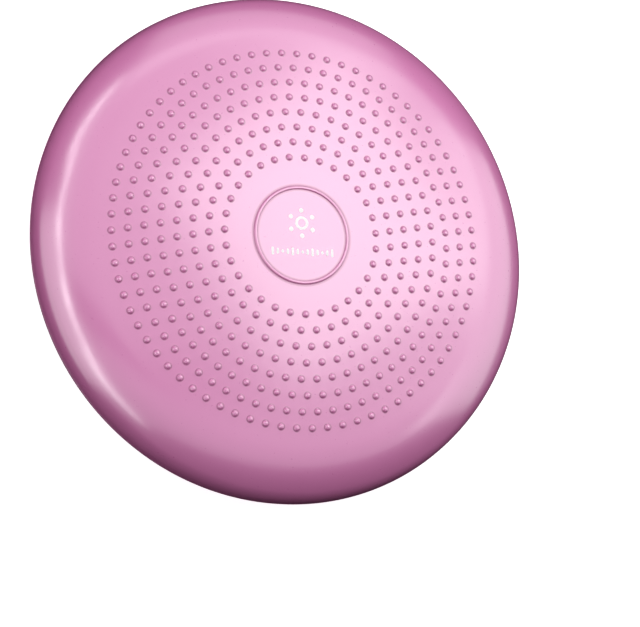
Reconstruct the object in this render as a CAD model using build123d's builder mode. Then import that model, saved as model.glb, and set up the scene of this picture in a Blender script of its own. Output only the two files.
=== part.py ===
from build123d import *
from math import asin, atan2, cos, degrees, pi, radians, sin, sqrt
import os

# Wobble cushion: an air-filled balance disc of soft PVC, 330 mm across, that a person sits,
# kneels or stands on. Millimetres, +Z up. The origin is the middle of the face it rests on,
# +Y points to the top of the printed mark, and the valve is in the underside, towards -Y.
#
# The skin is a solid of revolution. Its half section is a flat foot, a shallow belly, a tight
# rim, a rounder shoulder and a domed top, each arc tangent to the next. It is held as four
# zones, because the top of the real cushion tilts and sinks over the foot: underside_skin,
# upper_wall, border_ring and nub_panel.

# ---- driving dimensions ----
cushion_radius = 165.0
equator_height = 25.0
crown_height = 62.3
dome_radius = 750.0
rim_radius = 17.0  # of the tight arc at the equator
shoulder_angle = 50.0  # how far up the rim the rounder shoulder begins
foot_radius = 70.0
skin = 4.0

zone_gap = 0.3  # clear air between zones that move apart
wall_inner_radius = 145.0
panel_radius = 126.0

nub_ring_pitch = 10.1
first_nub_ring = 5  # rings are counted from the centre in pitches
last_nub_ring = 12
nub_spacing = 10.3  # along a ring
nub_base_radius = 2.05
nub_height = 1.5
nub_row_direction = 189.7  # a straight row takes one nub from every ring
nub_row_offset = 19.7  # how far beside the centre that row passes

bead_radius = 30.6
bead_width = 2.0
bead_height = 0.8

ink = 0.12  # thickness of the print
emblem_height = 7.5  # the emblem's middle, towards +Y
emblem_ring_radius = 3.5
emblem_ring_width = 1.8
emblem_dot_radius = 1.5
emblem_dot_count = 6
emblem_dot_circle = 8.2
tick_row_height = -11.0
tick_count = 13
tick_pitch = 3.3
tick_width = 1.6
tick_length = 3.7
tick_swing = 1.5  # ticks are this much longer or shorter, in waves

grip_groove_radii = [36.0, 43.0, 50.0, 57.0, 64.0]
grip_groove_width = 1.8
grip_groove_depth = 0.7

valve_distance = 105.0  # from the cushion's axis
dimple_radius = 11.0
dimple_height = 3.4
valve_head_radius = 5.0
valve_head_thickness = 1.0
valve_barrel_radius = 3.5
valve_barrel_length = 16.0
valve_bulb_radius = 4.2
valve_bulb_length = 2.0
valve_clearance = 0.05
needle_radius = 0.95
needle_depth = 13.0
socket_flange_radius = 15.0
socket_flange_top = 10.0
socket_tube_radius = 6.5
socket_tube_top = 17.2
socket_fillet = 2.0

# ---- the half section's arcs: centres as (radius across, height up) ----
rim_centre = (cushion_radius - rim_radius, equator_height)
dome_centre = (0.0, crown_height - dome_radius)

# the belly touches the floor plane at the foot's edge and the rim from inside
belly_run = rim_centre[0] - foot_radius
belly_radius = (belly_run**2 + equator_height**2 - rim_radius**2) / (2 * (equator_height - rim_radius))
belly_centre = (foot_radius, belly_radius)
belly_end_angle = degrees(atan2(rim_centre[1] - belly_centre[1], belly_run))

# the shoulder leaves the rim at its angle and touches the dome from inside
dome_to_rim_up = rim_centre[1] - dome_centre[1]
dome_play = dome_radius - rim_radius
toward_shoulder = rim_centre[0] * cos(radians(shoulder_angle)) + dome_to_rim_up * sin(radians(shoulder_angle))
shoulder_growth = (dome_play**2 - rim_centre[0] ** 2 - dome_to_rim_up**2) / (2 * (dome_play - toward_shoulder))
shoulder_radius = rim_radius + shoulder_growth
shoulder_centre = (
    rim_centre[0] - shoulder_growth * cos(radians(shoulder_angle)),
    rim_centre[1] - shoulder_growth * sin(radians(shoulder_angle)),
)
dome_start_angle = degrees(atan2(shoulder_centre[1] - dome_centre[1], shoulder_centre[0]))


def half_outline(depth):
    """The closed half section that lies this far inside the cushion's outer surface."""
    with BuildLine() as outline:
        Line((0, depth), (foot_radius, depth))
        CenterArc(belly_centre, belly_radius - depth, -90, belly_end_angle + 90)
        CenterArc(rim_centre, rim_radius - depth, belly_end_angle, shoulder_angle - belly_end_angle)
        CenterArc(shoulder_centre, shoulder_radius - depth, shoulder_angle, dome_start_angle - shoulder_angle)
        CenterArc(dome_centre, dome_radius - depth, dome_start_angle, 90 - dome_start_angle)
        Line((0, crown_height - depth), (0, depth))
    return outline.line


def skin_zone(inner_radius, outer_radius, bottom, top):
    """The skin's half section between two radii and two heights."""
    with BuildSketch(Plane.XZ) as section:
        make_face(half_outline(0).edges())
        make_face(half_outline(skin).edges(), mode=Mode.SUBTRACT)
        with Locations(((inner_radius + outer_radius) / 2, (bottom + top) / 2)):
            Rectangle(outer_radius - inner_radius, top - bottom, mode=Mode.INTERSECT)
    return section.sketch


def dome_height(radius):
    """How high the domed top is, that far from the axis."""
    return dome_centre[1] + sqrt(dome_radius**2 - radius**2)


def nub_places():
    """The foot of every nub: concentric rings, each turned so that one nub is in the straight row."""
    places = []
    for ring in range(first_nub_ring, last_nub_ring + 1):
        radius = ring * nub_ring_pitch
        count = round(2 * pi * radius / nub_spacing)
        start = radians(nub_row_direction) - asin(nub_row_offset / radius)
        for i in range(count):
            angle = start + 2 * pi * i / count
            places.append((radius * cos(angle), radius * sin(angle), dome_height(radius)))
    return places


os.makedirs("parts", exist_ok=True)

# ---- underside skin: foot, belly and the lower half of the rim ----
valve_spot = (0, -valve_distance)

with BuildPart() as underside_skin:
    revolve(skin_zone(0, cushion_radius, 0, equator_height), axis=Axis.Z)
    with BuildSketch(Plane.XZ):
        for radius in grip_groove_radii:
            with Locations((radius, 0)):
                Ellipse(grip_groove_width / 2, grip_groove_depth)
    revolve(axis=Axis.Z, mode=Mode.SUBTRACT)
    # a flat-bottomed dimple keeps the valve's head off the floor
    with BuildSketch():
        with Locations(valve_spot):
            Circle(dimple_radius)
    extrude(amount=dimple_height, mode=Mode.SUBTRACT)
    with BuildSketch():
        with Locations(valve_spot):
            Circle(valve_barrel_radius + valve_clearance)
    extrude(amount=socket_flange_top, mode=Mode.SUBTRACT)
underside_skin.part.label = "underside_skin"
export_step(underside_skin.part, "parts/underside_skin.step")

# ---- valve socket: a moulded boss inside the skin, a flange under a tube ----
with BuildPart() as valve_socket:
    with BuildSketch(Plane.XY.offset(dimple_height)):
        with Locations(valve_spot):
            Circle(socket_flange_radius)
    extrude(amount=socket_flange_top - dimple_height)
    with BuildSketch(Plane.XY.offset(socket_flange_top)):
        with Locations(valve_spot):
            Circle(socket_tube_radius)
    extrude(amount=socket_tube_top - socket_flange_top)
    step_edges = valve_socket.edges().filter_by(GeomType.CIRCLE).group_by(Axis.Z)[1]
    fillet(step_edges.sort_by(SortBy.RADIUS)[0], socket_fillet)
    with BuildSketch(Plane.XY.offset(dimple_height)):
        with Locations(valve_spot):
            Circle(valve_barrel_radius + valve_clearance)
    extrude(amount=socket_tube_top, mode=Mode.SUBTRACT)
    add(underside_skin.part, mode=Mode.SUBTRACT)
valve_socket.part.label = "valve_socket"
export_step(valve_socket.part, "parts/valve_socket.step")

# ---- valve core: a rubber plug with a head, a barrel and a bulb that holds it in the socket ----
# The needle's hole is blind. Beyond it the core is slit through, and the slit is shut.
core_top = dimple_height + valve_barrel_length

with BuildPart() as valve_core:
    with BuildSketch(Plane.XZ.offset(valve_distance)):
        with BuildLine():
            Polyline(
                (0, dimple_height - valve_head_thickness),
                (valve_head_radius, dimple_height - valve_head_thickness),
                (valve_head_radius, dimple_height),
                (valve_barrel_radius, dimple_height),
                (valve_barrel_radius, core_top - valve_bulb_length),
                (valve_bulb_radius, core_top - valve_bulb_length),
                (valve_barrel_radius, core_top),
                (0, core_top),
                close=True,
            )
        make_face()
    revolve(axis=Axis((0, -valve_distance, 0), (0, 0, 1)))
    head_rim = valve_core.edges().filter_by(GeomType.CIRCLE).group_by(Axis.Z)[0]
    fillet(head_rim, valve_head_thickness / 2)
    with BuildSketch(Plane.XY.offset(dimple_height - valve_head_thickness)):
        with Locations(valve_spot):
            Circle(needle_radius)
    extrude(amount=needle_depth, mode=Mode.SUBTRACT)
valve_core.part.label = "valve_core"
export_step(valve_core.part, "parts/valve_core.step")

# ---- upper wall: the upper half of the rim and the shoulder ----
with BuildPart() as upper_wall:
    wall_foot = equator_height + zone_gap
    revolve(skin_zone(wall_inner_radius, cushion_radius, wall_foot, crown_height), axis=Axis.Z)
upper_wall.part.label = "upper_wall"
export_step(upper_wall.part, "parts/upper_wall.step")

# ---- border ring: the smooth border round the nubs ----
with BuildPart() as border_ring:
    ring_inner = panel_radius + zone_gap
    ring_outer = wall_inner_radius - zone_gap
    revolve(skin_zone(ring_inner, ring_outer, equator_height, crown_height), axis=Axis.Z)
border_ring.part.label = "border_ring"
export_step(border_ring.part, "parts/border_ring.step")

# ---- nub panel: the domed seat with its nubs and a raised bead round the print ----
nub_sphere_radius = (nub_base_radius**2 + nub_height**2) / (2 * nub_height)

with BuildPart() as nub_panel:
    revolve(skin_zone(0, panel_radius, equator_height, crown_height), axis=Axis.Z)
    with BuildSketch(Plane.XZ):
        with Locations((bead_radius, dome_height(bead_radius))):
            Ellipse(bead_width / 2, bead_height)
    revolve(axis=Axis.Z)
    sink_into_skin = nub_sphere_radius - nub_height
    with Locations(*[(x, y, z - sink_into_skin) for x, y, z in nub_places()]):
        Sphere(nub_sphere_radius)
nub_panel.part.label = "nub_panel"
export_step(nub_panel.part, "parts/nub_panel.step")

# ---- print mark: a film of white ink that follows the dome inside the bead ----
film_angle = 2.0  # of the dome's arc, enough to cover the print

with BuildPart() as print_mark:
    with BuildSketch(Plane.XZ):
        with BuildLine():
            outer_film = CenterArc(dome_centre, dome_radius + ink, 90, -film_angle)
            inner_film = CenterArc(dome_centre, dome_radius, 90, -film_angle)
            Line(outer_film @ 0, inner_film @ 0)
            Line(outer_film @ 1, inner_film @ 1)
        make_face()
    revolve(axis=Axis.Z)
    with BuildSketch(Plane.XY.offset(crown_height - bead_height)):
        with Locations((0, emblem_height)):
            Circle(emblem_ring_radius + emblem_ring_width / 2)
            Circle(emblem_ring_radius - emblem_ring_width / 2, mode=Mode.SUBTRACT)
            with PolarLocations(emblem_dot_circle, emblem_dot_count, start_angle=90):
                Circle(emblem_dot_radius)
        for i in range(tick_count):
            from_middle = i - (tick_count - 1) / 2
            length = tick_length - tick_swing * cos(from_middle * pi / 2)
            with Locations((from_middle * tick_pitch, tick_row_height)):
                SlotOverall(length, tick_width, rotation=90)
    extrude(amount=2 * bead_height, mode=Mode.INTERSECT)
print_mark.part.label = "print_mark"
export_step(print_mark.part, "parts/print_mark.step")
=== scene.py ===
from math import acos, asin, atan2, cos, degrees, hypot, pi, radians, sin, sqrt

import bmesh
import bpy
from mathutils import Matrix, Vector


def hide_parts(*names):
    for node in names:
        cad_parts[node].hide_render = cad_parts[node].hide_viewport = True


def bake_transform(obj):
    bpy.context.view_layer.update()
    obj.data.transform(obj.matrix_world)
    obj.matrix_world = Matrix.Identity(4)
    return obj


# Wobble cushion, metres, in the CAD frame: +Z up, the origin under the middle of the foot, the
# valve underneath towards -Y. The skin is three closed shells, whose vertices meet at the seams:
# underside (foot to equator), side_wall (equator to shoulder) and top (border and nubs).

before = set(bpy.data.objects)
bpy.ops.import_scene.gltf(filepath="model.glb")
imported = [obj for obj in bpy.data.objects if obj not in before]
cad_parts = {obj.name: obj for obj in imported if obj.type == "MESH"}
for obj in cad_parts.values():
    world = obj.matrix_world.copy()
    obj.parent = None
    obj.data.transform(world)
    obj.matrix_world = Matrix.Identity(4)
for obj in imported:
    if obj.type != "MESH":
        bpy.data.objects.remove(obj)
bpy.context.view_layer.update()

MM = 0.001

# ---- sizes, the same as the CAD's ----
CUSHION_RADIUS = 165 * MM
EQUATOR_HEIGHT = 25 * MM
CROWN_HEIGHT = 62.3 * MM
DOME_RADIUS = 750 * MM
RIM_RADIUS = 17 * MM
SHOULDER_ANGLE = 50  # degrees up the rim
FOOT_RADIUS = 70 * MM
SKIN = 4 * MM
WALL_INNER_RADIUS = 144.85 * MM  # the seam between side_wall and top

NUB_RING_PITCH = 10.1 * MM
FIRST_NUB_RING = 5
LAST_NUB_RING = 12
NUB_SPACING = 10.3 * MM
NUB_CAP_RADIUS = 1.95 * MM  # where the cap would meet the dome without its fillet
NUB_HEIGHT = 1.5 * MM
NUB_FILLET = 0.3 * MM
NUB_FLATNESS = 1.5  # how much flatter the top is than a ball's
NUB_COLLAR = 1.3  # a flat collar round each nub, in reaches of its fillet
NUB_ROW_DIRECTION = 189.7  # degrees
NUB_ROW_OFFSET = 19.7 * MM

BEAD_RADIUS = 30.6 * MM
BEAD_HALF_WIDTH = 1.0 * MM
BEAD_HEIGHT = 0.8 * MM
BEAD_FILLET = 0.3 * MM
BEAD_FLATNESS = 1.6
PLAIN_RADII = [42 * MM, 37 * MM, 33.5 * MM]  # circles between the nubs and the bead
DISC_CIRCLES = [(28 * MM, None), (22 * MM, 72), (12 * MM, 36), (4 * MM, 12)]  # and their vertices
BORDER_RADII = [r * MM for r in (128, 130.5, 133, 135, 137, 139, 140.5, 142, 143.2, 144.1, 144.5)]
CREASE_END = 2.5  # a boss's crease ends where it has risen by its height over this

GROOVE_RADII = [36 * MM, 43 * MM, 50 * MM, 57 * MM, 64 * MM]
GROOVE_HALF_WIDTH = 0.9 * MM
GROOVE_DEPTH = 0.7 * MM
GROOVE_FILLET = 0.3 * MM

PARTING_RIDGE = 0.18 * MM  # the mould's parting line stands out this far at the equator
HIDDEN_FLOOR = 36 * MM  # the top piece is closed by a floor inside the cushion

VALVE_DISTANCE = 105 * MM
DIMPLE_RADIUS = 11 * MM
DIMPLE_HEIGHT = 3.4 * MM
DIMPLE_FILLET = 0.9 * MM
DIMPLE_STEPS = 8
# the crease values on the dimple's floor set painted shade, darker towards the hole
DIMPLE_FLOOR = [(8 * MM, 0.5), (5.6 * MM, 0.7)]  # circles round the hole, with their crease
VALVE_HOLE_RADIUS = 3.55 * MM
BELLY_RADII = [146 * MM, 140 * MM, 134 * MM, 128 * MM, 123 * MM]  # between the rim and the valve
FOOT_EDGE_RADII = [85 * MM, 77 * MM, FOOT_RADIUS, 67 * MM]
FOOT_CIRCLES = [(30 * MM, 148), (20 * MM, 74), (9 * MM, 30), (3 * MM, 10)]  # and their vertices

# ---- how finely the skin is meshed ----
CELL_STEPS = 5  # mesh steps along each side of the square round a nub
CELL_REACH = 0.4  # that square reaches this far from the ring, in pitches
PARTING_ANGLES = [2.2, 1.5, 0.9, 0.4]  # degrees from the equator, close together at the ridge
RIM_STEPS = CELL_STEPS * round(2 * pi * LAST_NUB_RING * NUB_RING_PITCH / NUB_SPACING)


# ---- the half section: arcs that touch each other, moved inwards by a depth ----
def arc(centre, radius, start, end, count):
    """Points along an arc, as (radius across, height up). Angles are in degrees."""
    points = []
    for i in range(count + 1):
        angle = radians(start + (end - start) * i / count)
        points.append((centre[0] + radius * cos(angle), centre[1] + radius * sin(angle)))
    return points


rim_centre = (CUSHION_RADIUS - RIM_RADIUS, EQUATOR_HEIGHT)
dome_centre = (0.0, CROWN_HEIGHT - DOME_RADIUS)
belly_run = rim_centre[0] - FOOT_RADIUS
belly_radius = belly_run**2 + EQUATOR_HEIGHT**2 - RIM_RADIUS**2
belly_radius /= 2 * (EQUATOR_HEIGHT - RIM_RADIUS)
belly_centre = (FOOT_RADIUS, belly_radius)
belly_end = degrees(atan2(rim_centre[1] - belly_centre[1], belly_run))
rise = rim_centre[1] - dome_centre[1]
play = DOME_RADIUS - RIM_RADIUS
along = rim_centre[0] * cos(radians(SHOULDER_ANGLE)) + rise * sin(radians(SHOULDER_ANGLE))
growth = (play**2 - rim_centre[0] ** 2 - rise**2) / (2 * (play - along))
shoulder_radius = RIM_RADIUS + growth
shoulder_centre = (
    rim_centre[0] - growth * cos(radians(SHOULDER_ANGLE)),
    rim_centre[1] - growth * sin(radians(SHOULDER_ANGLE)),
)
shoulder_end = degrees(atan2(shoulder_centre[1] - dome_centre[1], shoulder_centre[0]))
dome_end_radius = DOME_RADIUS * cos(radians(shoulder_end))


def outer_height(radius):
    """The height of the cushion's upper surface at a radius up to the shoulder's seam."""
    if radius <= dome_end_radius:
        return dome_centre[1] + sqrt(DOME_RADIUS**2 - radius**2)
    return shoulder_centre[1] + sqrt(shoulder_radius**2 - (radius - shoulder_centre[0]) ** 2)


def belly_height(radius):
    """The height of the underside at a radius up to the rim."""
    if radius <= FOOT_RADIUS:
        return 0.0
    return belly_centre[1] - sqrt(belly_radius**2 - (radius - FOOT_RADIUS) ** 2)


def boss(half_width, height, fillet, fillet_steps, cap_steps, flatness=1.0):
    """Half section of a rounded boss on a flat, from the foot of its fillet to its tip.

    A flatness over 1 moves the cap's points outwards, which flattens its top."""
    ball = (half_width**2 + height**2) / (2 * height)
    drop = ball - height
    reach = sqrt((ball + fillet) ** 2 - (drop + fillet) ** 2)
    touch = atan2(reach, drop + fillet)
    points = []
    for i in range(fillet_steps):
        angle = touch * i / fillet_steps
        points.append((reach - fillet * sin(angle), fillet - fillet * cos(angle)))
    for i in range(cap_steps + 1):
        angle = touch * (1 - i / cap_steps)
        share = sin(angle) / sin(touch)
        points.append((ball * sin(touch) * share ** (1 / flatness), ball * cos(angle) - drop))
    return points


def rim_point(angle):
    """A point of the outside of the rim, by its degrees up from the equator."""
    return (
        rim_centre[0] + RIM_RADIUS * cos(radians(angle)),
        rim_centre[1] + RIM_RADIUS * sin(radians(angle)),
    )


# The crease mark darkens the skin as painted shade, and roughens it.
def crease_of(share):
    """How deep in the crease round a boss a point is, that share of the way up the boss."""
    return max(0.0, 1 - CREASE_END * share)


def ridge(section):
    """A boss's half section, mirrored: from the foot on its outer side to that on its inner."""
    return section + [(-across, height) for across, height in reversed(section[:-1])]


SEAM_HEIGHT = outer_height(WALL_INNER_RADIUS)


class Shell:
    """A mesh in the making. Each vertex knows how deep in a crease and how near a tip it is."""

    def __init__(self):
        self.points = []
        self.faces = []
        self.crease = []
        self.tip = []

    def add(self, point, crease=0.0, tip=0.0):
        self.points.append(point)
        self.crease.append(crease)
        self.tip.append(tip)
        return len(self.points) - 1

    def circle(self, radius, height, count, start=0.0, crease=0.0, tip=0.0):
        """A level circle of vertices round the cushion's axis."""
        vertices = []
        for i in range(count):
            angle = start + 2 * pi * i / count
            point = (radius * cos(angle), radius * sin(angle), height)
            vertices.append(self.add(point, crease, tip))
        return vertices

    def bridge(self, a, b, skip=()):
        """Quads between two loops of as many vertices, but for the steps to skip."""
        for i in range(len(a)):
            if i not in skip:
                j = (i + 1) % len(a)
                self.faces.append((a[i], a[j], b[j], b[i]))

    def zipper(self, a, b):
        """Triangles between two circles that have different numbers of vertices."""
        def angle(vertex):
            return atan2(self.points[vertex][1], self.points[vertex][0])

        def lead(vertex):
            return (angle(vertex) - angle(a[0]) + pi) % (2 * pi) - pi

        nearest = min(range(len(b)), key=lambda k: abs(lead(b[k])))
        b = b[nearest:] + b[:nearest]
        offset = lead(b[0])
        i = j = 0
        while i < len(a) or j < len(b):
            next_a = 2 * pi * (i + 1) / len(a)
            next_b = offset + 2 * pi * (j + 1) / len(b)
            if j == len(b) or (i < len(a) and next_a <= next_b):
                self.faces.append((a[i], a[(i + 1) % len(a)], b[j % len(b)]))
                i += 1
            else:
                self.faces.append((a[i % len(a)], b[(j + 1) % len(b)], b[j]))
                j += 1

    def close(self, loop, point, tip=0.0):
        """A fan from a loop to one point."""
        middle = self.add(point, 0.0, tip)
        for i in range(len(loop)):
            self.faces.append((loop[i], loop[(i + 1) % len(loop)], middle))

    def join(self, a, b):
        """Bridges or zips two circles."""
        if len(a) == len(b):
            self.bridge(a, b)
        else:
            self.zipper(a, b)

    def make(self, name):
        """The object, with smooth faces that point outwards and the two marks as attributes."""
        mesh = bpy.data.meshes.new(name)
        mesh.from_pydata(self.points, [], self.faces)
        soft = bmesh.new()
        soft.from_mesh(mesh)
        bmesh.ops.recalc_face_normals(soft, faces=soft.faces)
        soft.to_mesh(mesh)
        soft.free()
        mesh.shade_smooth()
        mesh.set_sharp_from_angle(angle=radians(60))
        for word, values in (("crease", self.crease), ("tip", self.tip)):
            mesh.attributes.new(word, "FLOAT", "POINT").data.foreach_set("value", values)
        made = bpy.data.objects.new(name, mesh)
        bpy.context.scene.collection.objects.link(made)
        return made


def square_to_circle(shell, border, centre, radial, tangent, rings):
    """Fills a four-sided border with circles, and returns the last one.

    rings gives each circle's radius, how to place its points, their crease and their tip."""
    count = len(border)
    previous = border
    for radius, place, crease, tip in rings:
        circle = []
        for j in range(count):
            angle = radians(-135) - 2 * pi * j / count
            x = centre[0] + radius * (cos(angle) * radial[0] + sin(angle) * tangent[0])
            y = centre[1] + radius * (cos(angle) * radial[1] + sin(angle) * tangent[1])
            circle.append(shell.add(place(x, y), crease, tip))
        shell.bridge(previous, circle)
        previous = circle
    return previous


# ---- top: the print's disc, the bead, eight rings of nubs and the smooth border ----
def nub_ring_facts(ring):
    """A nub ring's radius, number of nubs, and the angle of the nub that is in the straight row."""
    radius = ring * NUB_RING_PITCH
    count = round(2 * pi * radius / NUB_SPACING)
    return radius, count, radians(NUB_ROW_DIRECTION) - asin(NUB_ROW_OFFSET / radius)


RIM_START = nub_ring_facts(LAST_NUB_RING)[2] - pi * CELL_STEPS / RIM_STEPS


def nub_cell(shell, border, centre, section):
    """One nub inside its square border: a flat collar, the fillet and the cap."""
    across = hypot(*centre)
    radial = (centre[0] / across, centre[1] / across)
    tangent = (-radial[1], radial[0])
    slope = across / DOME_RADIUS
    lean = sqrt(1 - slope**2)
    normal = (radial[0] * slope, radial[1] * slope, lean)

    def on_dome(lift):
        def place(x, y):
            z = outer_height(hypot(x, y))
            return (x + normal[0] * lift, y + normal[1] * lift, z + normal[2] * lift)
        return place

    rings = [(section[0][0] * NUB_COLLAR, on_dome(0), 0.0, 0.0)]
    tallest = section[-1][1]
    for radius, height in section[:-1]:
        share = height / tallest
        rings.append((radius, on_dome(height), crease_of(share), share**2))
    last = square_to_circle(shell, border, centre, radial, tangent, rings)
    shell.close(last, on_dome(tallest)(*centre), 1.0)


def nub_ring(shell, ring, section):
    """A ring of nubs, each in a square of the dome. Returns the ring's inner and outer circles."""
    radius, count, start = nub_ring_facts(ring)
    steps = count * CELL_STEPS
    corner = start - pi / count
    edges = [
        radius + (2 * i / CELL_STEPS - 1) * CELL_REACH * NUB_RING_PITCH
        for i in range(CELL_STEPS + 1)
    ]
    inner = shell.circle(edges[0], outer_height(edges[0]), steps, corner)
    outer = shell.circle(edges[-1], outer_height(edges[-1]), steps, corner)
    spokes = []
    for i in range(count):
        angle = corner + 2 * pi * i / count
        spokes.append([
            shell.add((r * cos(angle), r * sin(angle), outer_height(r))) for r in edges[1:-1]
        ])
    for i in range(count):
        side = range(i * CELL_STEPS, (i + 1) * CELL_STEPS + 1)
        border = [inner[k % steps] for k in side]
        border += spokes[(i + 1) % count]
        border += [outer[k % steps] for k in reversed(side)]
        border += reversed(spokes[i])
        angle = start + 2 * pi * i / count
        nub_cell(shell, border, (radius * cos(angle), radius * sin(angle)), section)
    return inner, outer


def make_top():
    shell = Shell()
    section = boss(NUB_CAP_RADIUS, NUB_HEIGHT, NUB_FILLET, 3, 5, NUB_FLATNESS)
    first_inner, previous = nub_ring(shell, FIRST_NUB_RING, section)
    for ring in range(FIRST_NUB_RING + 1, LAST_NUB_RING + 1):
        inner, outer = nub_ring(shell, ring, section)
        shell.join(previous, inner)
        previous = outer

    # inwards: a plain collar, the bead, and the disc that carries the print
    count = len(first_inner)
    bead = ridge(boss(BEAD_HALF_WIDTH, BEAD_HEIGHT, BEAD_FILLET, 3, 6, BEAD_FLATNESS))
    stations = [(radius, 0.0, count) for radius in PLAIN_RADII]
    stations += [(BEAD_RADIUS + across, lift, count) for across, lift in bead]
    stations += [(radius, 0.0, fewer or count) for radius, fewer in DISC_CIRCLES]
    loop = first_inner
    for radius, lift, count in stations:
        share = lift / BEAD_HEIGHT
        by_bead = abs(radius - BEAD_RADIUS) < 2 * BEAD_HALF_WIDTH
        crease = crease_of(share) if by_bead else 0.0
        height = outer_height(radius) + lift
        circle = shell.circle(radius, height, count, RIM_START, crease, share**2)
        shell.join(loop, circle)
        loop = circle
    shell.close(loop, (0, 0, CROWN_HEIGHT))

    # outwards: the smooth border, then down inside the wall to a hidden floor
    for radius in BORDER_RADII + [WALL_INNER_RADIUS]:
        circle = shell.circle(radius, outer_height(radius), RIM_STEPS, RIM_START)
        shell.join(previous, circle)
        previous = circle
    for radius, height, count in (
        (WALL_INNER_RADIUS, SEAM_HEIGHT - SKIN, RIM_STEPS),
        (142 * MM, HIDDEN_FLOOR, RIM_STEPS),
        (60 * MM, HIDDEN_FLOOR, 60),
    ):
        circle = shell.circle(radius, height, count, RIM_START)
        shell.join(previous, circle)
        previous = circle
    shell.close(previous, (0, 0, HIDDEN_FLOOR))
    return shell.make("top")


# ---- side wall: the upper half of the rim and the shoulder, a closed ring ----
def make_side_wall():
    shell = Shell()
    seam_angle = degrees(acos((WALL_INNER_RADIUS - shoulder_centre[0]) / shoulder_radius))
    outer = arc(shoulder_centre, shoulder_radius, seam_angle, SHOULDER_ANGLE, 12)
    outer += arc(rim_centre, RIM_RADIUS, SHOULDER_ANGLE, 3, 22)[1:]
    outer += [rim_point(angle) for angle in PARTING_ANGLES]
    outer += [(CUSHION_RADIUS + PARTING_RIDGE, EQUATOR_HEIGHT)]
    inner = arc(rim_centre, RIM_RADIUS - SKIN, 0, SHOULDER_ANGLE, 8)
    inner_radius = shoulder_radius - SKIN
    inner_seam = degrees(acos((WALL_INNER_RADIUS - shoulder_centre[0]) / inner_radius))
    inner += arc(shoulder_centre, inner_radius, SHOULDER_ANGLE, inner_seam, 5)[1:]
    loops = [shell.circle(r, z, RIM_STEPS, RIM_START) for r, z in outer + inner]
    for i in range(len(loops)):
        shell.bridge(loops[i - 1], loops[i])
    return shell.make("side_wall")


# ---- underside: the lower half of the rim, the belly with the valve's dimple, and the foot ----
PATCH_STEPS = 16
VALVE_STEP = round((radians(270) - RIM_START) % (2 * pi) / (2 * pi / RIM_STEPS))
PATCH_START = VALVE_STEP - PATCH_STEPS // 2
PATCH_REACH = PATCH_STEPS / 2 * 2 * pi / RIM_STEPS * VALVE_DISTANCE


def patch_rows(shell, depth):
    """The circles across the belly on which the valve's square patch is cut out."""
    rows = []
    for i in range(PATCH_STEPS + 1):
        radius = VALVE_DISTANCE + PATCH_REACH * (1 - 2 * i / PATCH_STEPS)
        rows.append(shell.circle(radius, belly_height(radius) + depth, RIM_STEPS, RIM_START))
    for i in range(PATCH_STEPS):
        shell.bridge(rows[i], rows[i + 1], skip=range(PATCH_START, PATCH_START + PATCH_STEPS))
    return rows


def patch_border(rows):
    """The patch's edge, from a corner nearest the axis, in square_to_circle's order."""
    columns = range(PATCH_START, PATCH_START + PATCH_STEPS + 1)
    border = [rows[-1][k] for k in columns]
    border += [rows[i][columns[-1]] for i in range(PATCH_STEPS - 1, 0, -1)]
    border += [rows[0][k] for k in reversed(columns)]
    border += [rows[i][columns[0]] for i in range(1, PATCH_STEPS)]
    return border


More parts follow.
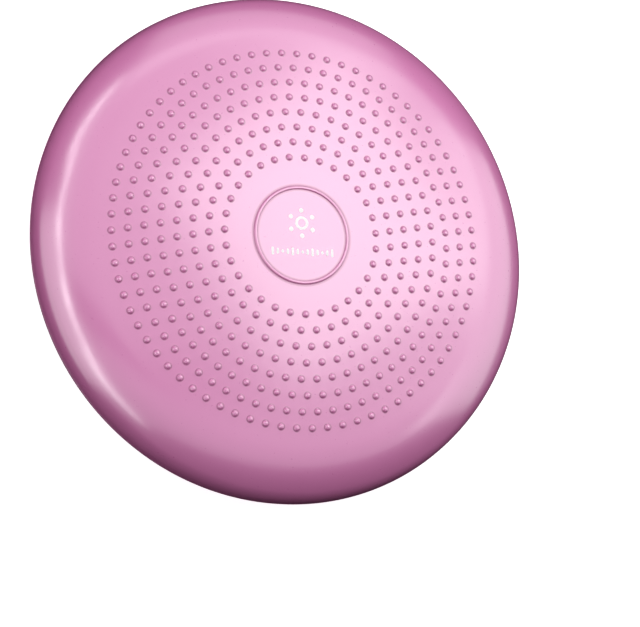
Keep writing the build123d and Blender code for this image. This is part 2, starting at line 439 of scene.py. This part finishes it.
def make_underside():
    shell = Shell()
    rim = [(CUSHION_RADIUS + PARTING_RIDGE, EQUATOR_HEIGHT)]
    rim += [rim_point(-angle) for angle in reversed(PARTING_ANGLES)]
    rim += arc(rim_centre, RIM_RADIUS, -3, belly_end, 24)
    rim += [(radius, belly_height(radius)) for radius in BELLY_RADII]
    loop = None
    for radius, height in rim:
        circle = shell.circle(radius, height, RIM_STEPS, RIM_START)
        if loop:
            shell.bridge(loop, circle)
        else:
            seam_outside = circle
        loop = circle
    rows = patch_rows(shell, 0.0)
    shell.bridge(loop, rows[0])
    loop = rows[-1]

    def sunk(share):
        """Places a point that share of the way from the belly up to the dimple's floor."""
        def place(x, y):
            belly = belly_height(hypot(x, y))
            return (x, y, belly + (DIMPLE_HEIGHT - belly) * share)
        return place

    # the crease mark rises down into the dimple and is full at the hole: painted shade in the
    # recess
    rings = [(DIMPLE_RADIUS + 1.6 * DIMPLE_FILLET, sunk(0), 0.0, 0.0)]
    for i in range(DIMPLE_STEPS + 1):
        t = i / DIMPLE_STEPS
        radius = DIMPLE_RADIUS + DIMPLE_FILLET * (1 - 2 * t)
        rings.append((radius, sunk(t * t * (3 - 2 * t)), t, 0.0))
    rings += [(radius, sunk(1), crease, 0.0) for radius, crease in DIMPLE_FLOOR]
    rings += [(VALVE_HOLE_RADIUS, sunk(1), 1.0, 0.0)]
    valve = (0, -VALVE_DISTANCE)
    hole_outside = square_to_circle(shell, patch_border(rows), valve, (0, -1), (1, 0), rings)

    # the foot and its grip grooves
    stations = [(radius, belly_height(radius), 0.0) for radius in FOOT_EDGE_RADII]
    groove = ridge(boss(GROOVE_HALF_WIDTH, GROOVE_DEPTH, GROOVE_FILLET, 2, 3))
    for groove_radius in reversed(GROOVE_RADII):
        stations += [
            (groove_radius + across, depth, depth / GROOVE_DEPTH) for across, depth in groove
        ]
    for radius, height, crease in stations:
        circle = shell.circle(radius, height, RIM_STEPS, RIM_START, crease)
        shell.bridge(loop, circle)
        loop = circle
    for radius, count in FOOT_CIRCLES:
        circle = shell.circle(radius, 0.0, count, RIM_START)
        shell.join(loop, circle)
        loop = circle
    shell.close(loop, (0, 0, 0))

    # the inner face, from the equator down to the foot's middle, with the valve's hole through it
    inner = arc(rim_centre, RIM_RADIUS - SKIN, 0, belly_end, 10)
    inner += [(radius * MM, belly_height(radius * MM) + SKIN) for radius in (140, 128)]
    loop = seam_outside
    for radius, height in inner:
        circle = shell.circle(radius, height, RIM_STEPS, RIM_START)
        shell.bridge(loop, circle)
        loop = circle
    rows = patch_rows(shell, SKIN)
    shell.bridge(loop, rows[0])

    def inside(x, y):
        return (x, y, belly_height(hypot(x, y)) + SKIN)

    rings = [(10 * MM, inside, 0.0, 0.0), (VALVE_HOLE_RADIUS, inside, 0.0, 0.0)]
    hole_inside = square_to_circle(shell, patch_border(rows), valve, (0, -1), (1, 0), rings)
    shell.bridge(hole_outside, hole_inside)
    loop = rows[-1]
    for radius, count in ((FOOT_RADIUS, 148), (30 * MM, 60)):
        circle = shell.circle(radius, belly_height(radius) + SKIN, count, RIM_START)
        shell.join(loop, circle)
        loop = circle
    shell.close(loop, (0, 0, SKIN))
    return shell.make("underside")


# ---- materials ----
def linear(red, green, blue):
    """A colour as it looks on a screen, 0 to 255, turned into the renderer's linear light."""
    def channel(value):
        value /= 255
        return value / 12.92 if value <= 0.04045 else ((value + 0.055) / 1.055) ** 2.4
    return (channel(red), channel(green), channel(blue), 1.0)


class Nodes:
    """A material's node tree, with short ways to add nodes and wires."""

    def __init__(self, name):
        self.material = bpy.data.materials.new(name)
        self.material.use_nodes = True
        self.tree = self.material.node_tree
        self.shader = self.tree.nodes["Principled BSDF"]

    def add(self, kind, inputs=None, **settings):
        node = self.tree.nodes.new(kind)
        for name, value in settings.items():
            setattr(node, name, value)
        for name, value in (inputs or {}).items():
            self.feed(node.inputs[name], value)
        return node

    def feed(self, socket, value):
        if isinstance(value, bpy.types.NodeSocket):
            self.tree.links.new(value, socket)
        else:
            socket.default_value = value

    def place(self):
        return self.add("ShaderNodeTexCoord").outputs["Object"]

    def noise(self, size, detail):
        """Noise whose blotches are about that many metres across."""
        inputs = {"Vector": self.place(), "Scale": 1 / size, "Detail": detail}
        return self.add("ShaderNodeTexNoise", inputs).outputs["Fac"]

    def attribute(self, name):
        return self.add("ShaderNodeAttribute", attribute_name=name).outputs["Fac"]

    def span(self, value, low, high):
        """A value from 0 to 1, mapped to low to high."""
        node = self.add("ShaderNodeMapRange", {"Value": value, "To Min": low, "To Max": high})
        return node.outputs["Result"]

    def math(self, operation, a, b):
        node = self.add("ShaderNodeMath", operation=operation)
        self.feed(node.inputs[0], a)
        self.feed(node.inputs[1], b)
        return node.outputs["Value"]

    def mix(self, share, a, b):
        node = self.add("ShaderNodeMix", data_type="RGBA")
        self.feed(node.inputs["Factor"], share)
        self.feed(node.inputs["A"], a)
        self.feed(node.inputs["B"], b)
        return node.outputs["Result"]

    def bump(self, height, distance, strength, under=None):
        inputs = {"Height": height, "Distance": distance, "Strength": strength}
        if under:
            inputs["Normal"] = under
        return self.add("ShaderNodeBump", inputs).outputs["Normal"]


SKIN_COLOUR = linear(222, 134, 188)
SKIN_PAINTED_SHADE = linear(166, 70, 126)
SKIN_PALE = linear(227, 140, 193)
PAINTED_SHADE_BELOW = 18 * MM  # painted shade: the skin is darkened low on the rim, fully below this height
# above this height the skin gets no painted shade
UNSHADED_ABOVE = 48 * MM
LOW_PAINTED_SHADE = 0.75  # how far the painted shade darkens the lowest skin
# how far the crease mark takes the skin towards the painted shade colour
CREASE_PAINTED_SHADE = 0.95
COAT_IOR = 1.75
COAT_ROUGHNESS = 0.2


def skin_material():
    """Soft PVC: glossy pink, a little cloudy, with fine orange peel, and painted shade in its
    creases and low on the rim.
    """
    m = Nodes("pvc_skin")
    cloud = m.noise(30 * MM, 3.0)
    peel = m.noise(1.6 * MM, 2.0)
    grain = m.noise(0.25 * MM, 1.0)
    colour = m.mix(m.span(cloud, 0.0, 0.5), SKIN_COLOUR, SKIN_PALE)
    # painted shade: the skin is darkened in the creases round the nubs, the bead, the grooves and
    # the valve's dimple
    crease_shade = m.math("MULTIPLY", m.attribute("crease"), CREASE_PAINTED_SHADE)
    colour = m.mix(crease_shade, colour, SKIN_PAINTED_SHADE)
    # painted shade: the skin is darkened towards the bottom, more the lower it is
    height = m.add("ShaderNodeSeparateXYZ", {"Vector": m.place()}).outputs["Z"]
    fall = {"Value": height, "From Min": UNSHADED_ABOVE, "From Max": PAINTED_SHADE_BELOW}
    low = m.add("ShaderNodeMapRange", fall).outputs["Result"]
    colour = m.mix(m.math("MULTIPLY", low, LOW_PAINTED_SHADE), colour, SKIN_PAINTED_SHADE)
    m.feed(m.shader.inputs["Base Color"], colour)
    gloss = m.span(peel, 0.26, 0.31)
    gloss = m.math("ADD", gloss, m.math("MULTIPLY", m.attribute("crease"), 0.12))
    gloss = m.math("SUBTRACT", gloss, m.math("MULTIPLY", m.attribute("tip"), 0.05))
    m.feed(m.shader.inputs["Roughness"], gloss)
    relief = m.bump(peel, 0.05 * MM, 0.35)
    m.feed(m.shader.inputs["Normal"], m.bump(grain, 0.02 * MM, 0.08, relief))
    m.shader.inputs["Specular IOR Level"].default_value = 1.0
    m.shader.inputs["Coat Weight"].default_value = 1.0
    m.shader.inputs["Coat IOR"].default_value = COAT_IOR
    m.shader.inputs["Coat Roughness"].default_value = COAT_ROUGHNESS
    return m.material


def print_material():
    """White ink: matte, and a touch thin in places."""
    m = Nodes("white_ink")
    thin = m.noise(0.8 * MM, 3.0)
    colour = m.mix(m.span(thin, 0.0, 0.25), linear(255, 255, 255), linear(250, 232, 244))
    m.feed(m.shader.inputs["Base Color"], colour)
    m.feed(m.shader.inputs["Roughness"], m.span(thin, 0.45, 0.6))
    m.feed(m.shader.inputs["Normal"], m.bump(thin, 0.02 * MM, 0.3))
    return m.material


def rubber_material():
    """The valve core's black rubber: dull, dusty and slightly pitted."""
    m = Nodes("valve_rubber")
    dust = m.noise(2 * MM, 4.0)
    pits = m.noise(0.3 * MM, 2.0)
    m.feed(m.shader.inputs["Base Color"], m.mix(dust, linear(34, 33, 36), linear(62, 60, 64)))
    m.feed(m.shader.inputs["Roughness"], m.span(dust, 0.55, 0.8))
    m.feed(m.shader.inputs["Normal"], m.bump(pits, 0.04 * MM, 0.5))
    return m.material


# ---- the object ----
skin = skin_material()
underside = make_underside()
side_wall = make_side_wall()
top = make_top()
for shell in (underside, side_wall, top):
    shell.data.materials.append(skin)
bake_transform(underside)
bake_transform(side_wall)
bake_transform(top)
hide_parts("underside_skin")
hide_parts("upper_wall")
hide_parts("border_ring", "nub_panel")

for node, material in (
    ("print_mark", print_material()),
    ("valve_core", rubber_material()),
    ("valve_socket", skin),
):
    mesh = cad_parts[node].data
    mesh.materials.clear()
    mesh.materials.append(material)


# ---- studio: soft boxes, a pale floor and backdrop, and a dim room ----
def soft_box(name, place, aim, width, length, watts):
    """A rectangle of light at a place, turned towards a point."""
    light = bpy.data.lights.new(name, "AREA")
    light.shape = "RECTANGLE"
    light.size = width
    light.size_y = length
    light.energy = watts
    lamp = bpy.data.objects.new(name, light)
    towards = Vector(aim) - Vector(place)
    turn = towards.to_track_quat("-Z", "Y").to_matrix().to_4x4()
    lamp.matrix_world = Matrix.Translation(place) @ turn
    bpy.context.scene.collection.objects.link(lamp)
    return lamp


# broad_box hangs overhead, and dome_box is where the dome mirrors it towards the camera.
# near_sheen only adds gloss, and under_fill only lights the underside. The other three fill the
# sides and the far side. The near side has none, so the near rim goes deep.
MIDDLE = (0, 0, 40 * MM)
soft_box("broad_box", (0.08, 0.70, 1.52), MIDDLE, 3.4, 1.9, 16)
soft_box("near_sheen", (0.08, -0.74, 1.46), MIDDLE, 3.4, 1.0, 7.5).visible_diffuse = False
soft_box("under_fill", (0, 0, -1.5), MIDDLE, 1.2, 1.2, 24).visible_glossy = False
soft_box("dome_box", (0.66, 0.44, 1.52), MIDDLE, 1.0, 1.0, 8.5)
soft_box("left_fill", (-1.60, -0.25, 0.60), MIDDLE, 1.8, 1.3, 10)
soft_box("far_fill", (0.35, 1.45, 0.80), MIDDLE, 1.6, 1.2, 5)
soft_box("right_fill", (1.50, 0.10, 0.70), MIDDLE, 1.6, 1.3, 10.5)

# Narrow boxes stand in an arc along the left, where the shoulder mirrors them as one long line.
STRIP_AZIMUTHS = (125, 150, 175, 200, 225)  # degrees round from +X
STRIP_TOP = 43  # degrees up, in the middle of the arc
STRIP_DROP = 7  # how many degrees lower the arc is, 50 degrees round from its middle
STRIP_DISTANCE = 1.4
STRIP_MIDDLE = (-0.1, 0, 40 * MM)
for azimuth in STRIP_AZIMUTHS:
    elevation = radians(STRIP_TOP - STRIP_DROP * ((azimuth - 180) / 50) ** 2)
    level = STRIP_DISTANCE * cos(elevation)
    place = (
        level * cos(radians(azimuth)) + STRIP_MIDDLE[0],
        level * sin(radians(azimuth)),
        STRIP_DISTANCE * sin(elevation),
    )
    soft_box(f"left_strip_{azimuth}", place, STRIP_MIDDLE, 0.62, 0.07, 1.0)

FLOOR_SIZE = 60.0
FLOOR_DEPTH = 0.2 * MM  # how far the floor lies under the foot
BACKDROP_RADIUS = 30.0
ROOM_COLOUR = (1.0, 0.55, 0.8, 1)
ROOM_STRENGTH = 0.012


def pale_stage(name, shade, glow, one_sided=False):
    """Makes the active object a plain pale stage, which throws no light on the cushion.

    A one-sided one is clear from below."""
    made = bpy.context.object
    made.name = name
    m = Nodes(name)
    m.shader.inputs["Base Color"].default_value = (shade, shade, shade, 1)
    m.shader.inputs["Roughness"].default_value = 0.8
    m.shader.inputs["Emission Color"].default_value = (1, 1, 1, 1)
    m.shader.inputs["Emission Strength"].default_value = glow
    m.material.cycles.emission_sampling = "NONE"
    behind = m.add("ShaderNodeNewGeometry").outputs["Backfacing"] if one_sided else 0.0
    clear = m.add("ShaderNodeBsdfTransparent").outputs["BSDF"]
    either = m.add("ShaderNodeMixShader", {0: behind, 1: m.shader.outputs["BSDF"], 2: clear})
    m.feed(m.tree.nodes["Material Output"].inputs["Surface"], either.outputs["Shader"])
    made.data.materials.append(m.material)
    made.visible_diffuse = False
    made.visible_glossy = False
    made.visible_shadow = False


bpy.ops.mesh.primitive_plane_add(size=FLOOR_SIZE, location=(0, 0, -FLOOR_DEPTH))
pale_stage("floor", 0.8, 0.8, one_sided=True)
bpy.ops.mesh.primitive_uv_sphere_add(radius=BACKDROP_RADIUS, segments=64, ring_count=32)
pale_stage("backdrop", 0.0, 1.0)

world = bpy.data.worlds.new("room")
bpy.context.scene.world = world
world.use_nodes = True
background = world.node_tree.nodes["Background"]
background.inputs["Color"].default_value = ROOM_COLOUR
background.inputs["Strength"].default_value = ROOM_STRENGTH

# ---- camera, at the photograph's angle ----
CAMERA_PLACE = (-0.5468, -0.3618, 1.5181)
CAMERA_TURN = Vector((0.20184607, -0.36047967, 0.0))  # axis times angle, from straight down
FOCAL_LENGTH = 143.3  # mm, for a sensor of the width below
SENSOR_WIDTH = 36
camera_data = bpy.data.cameras.new("camera")
camera_data.lens = FOCAL_LENGTH
camera_data.sensor_width = SENSOR_WIDTH
camera_data.sensor_fit = "HORIZONTAL"
camera = bpy.data.objects.new("camera", camera_data)
turn = Matrix.Rotation(CAMERA_TURN.length, 4, CAMERA_TURN.normalized())
camera.matrix_world = Matrix.Translation(CAMERA_PLACE) @ turn
bpy.context.scene.collection.objects.link(camera)
bpy.context.scene.camera = camera
bpy.context.scene.view_settings.view_transform = "Standard"
